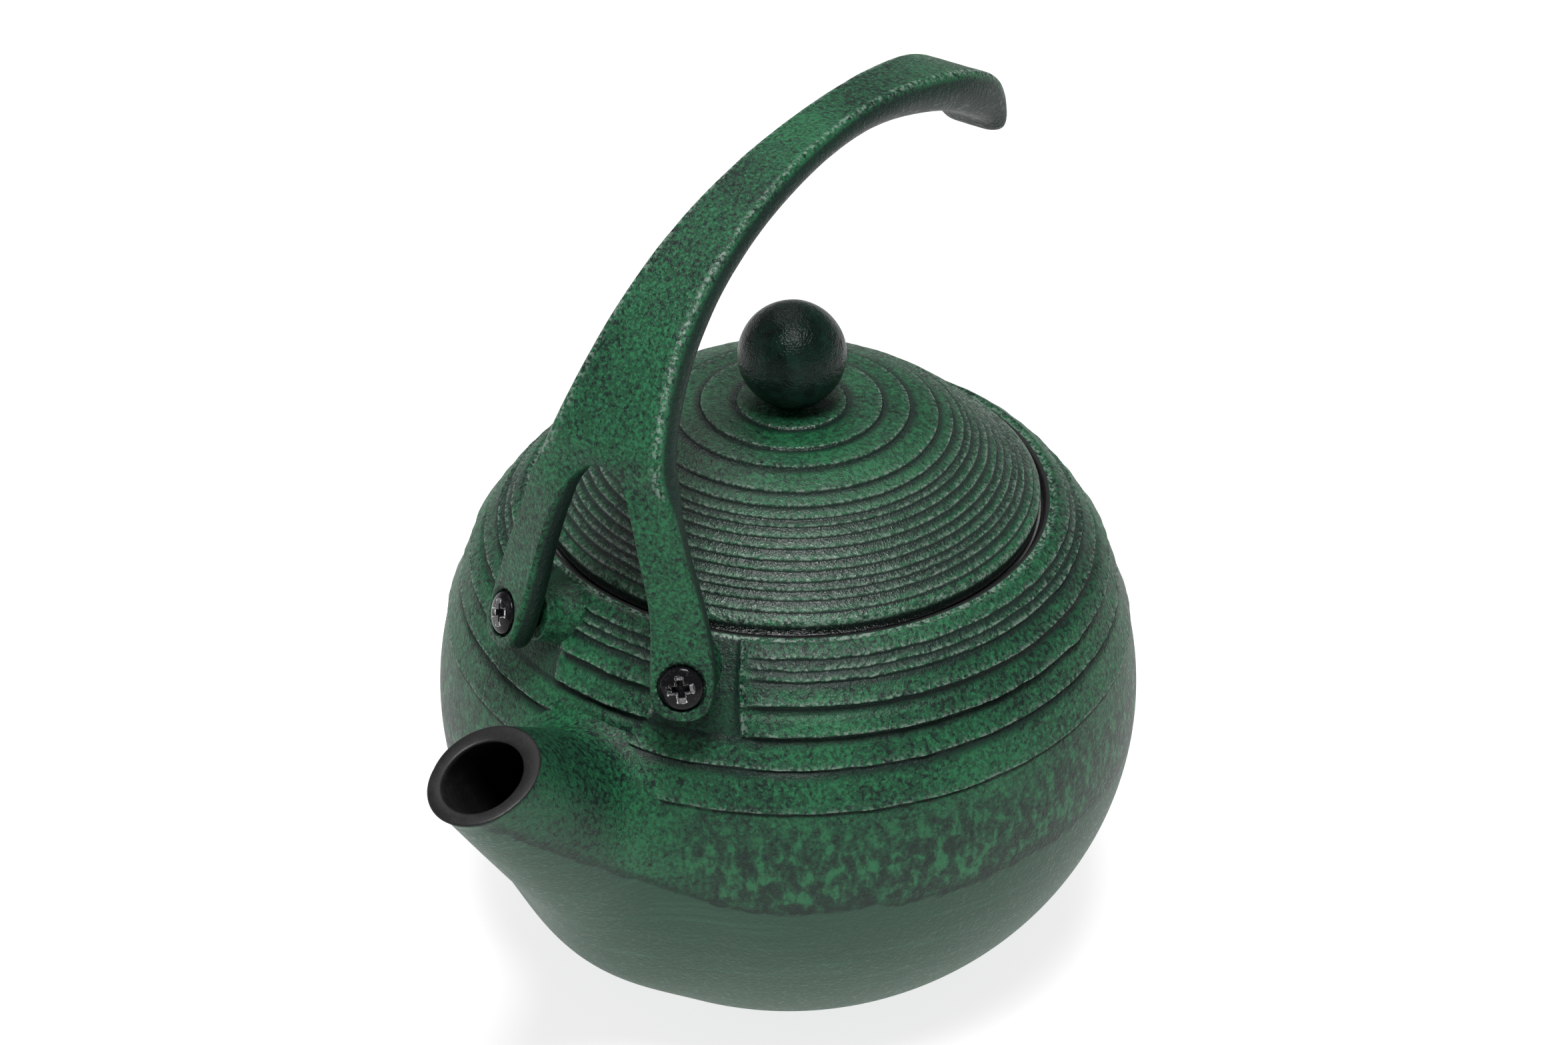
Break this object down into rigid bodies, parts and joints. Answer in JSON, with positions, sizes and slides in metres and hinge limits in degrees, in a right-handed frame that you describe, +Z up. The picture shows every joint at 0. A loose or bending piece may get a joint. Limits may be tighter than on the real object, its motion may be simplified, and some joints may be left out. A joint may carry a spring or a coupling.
{
  "type": "cast iron teapot",
  "caption": "Round cast iron teapot with a short spout, terraced body and domed lid, ball knob, forked arch handle open at the back, and a steel tea strainer inside.",
  "frame": {"origin": "centre of the flat base that the pot stands on", "axes": "+Z up along the pot's axis, the spout points to -Y and the handle's free tail to +Y, +X is to the right seen from the spout's front"},
  "size_m": [0.1246, 0.1555, 0.1561],
  "materials": {
    "green_iron": "sand cast, bright green patina over dark green in the hollows, satin",
    "dark_green_iron": "smoother casting, dark green, satin sheen",
    "black_steel": "black oxide, glossy",
    "plain_steel": "bright pressed stainless steel",
    "steel_mesh": "fine perforated stainless steel"
  },
  "bodies": {
    "pot": {"pot_body": "green_iron", "handle": "green_iron", "handle_screw_left": "black_steel", "handle_screw_right": "black_steel"},
    "strainer": {"strainer_rim": "plain_steel", "strainer_wall": "steel_mesh", "strainer_band": "plain_steel", "strainer_floor": "steel_mesh"},
    "lid": {"lid": "green_iron", "lid_knob": "dark_green_iron", "knob_washer": "plain_steel", "knob_nut": "plain_steel"}
  },
  "joints": [
    {"name": "strainer_lift", "type": "slide", "parent": "pot", "child": "strainer", "axis": [0, 0, 1], "range_m": [0, 0.008]},
    {"name": "lid_lift", "type": "slide", "parent": "strainer", "child": "lid", "axis": [0, 0, 1], "range_m": [0, 0.012]}
  ]
}
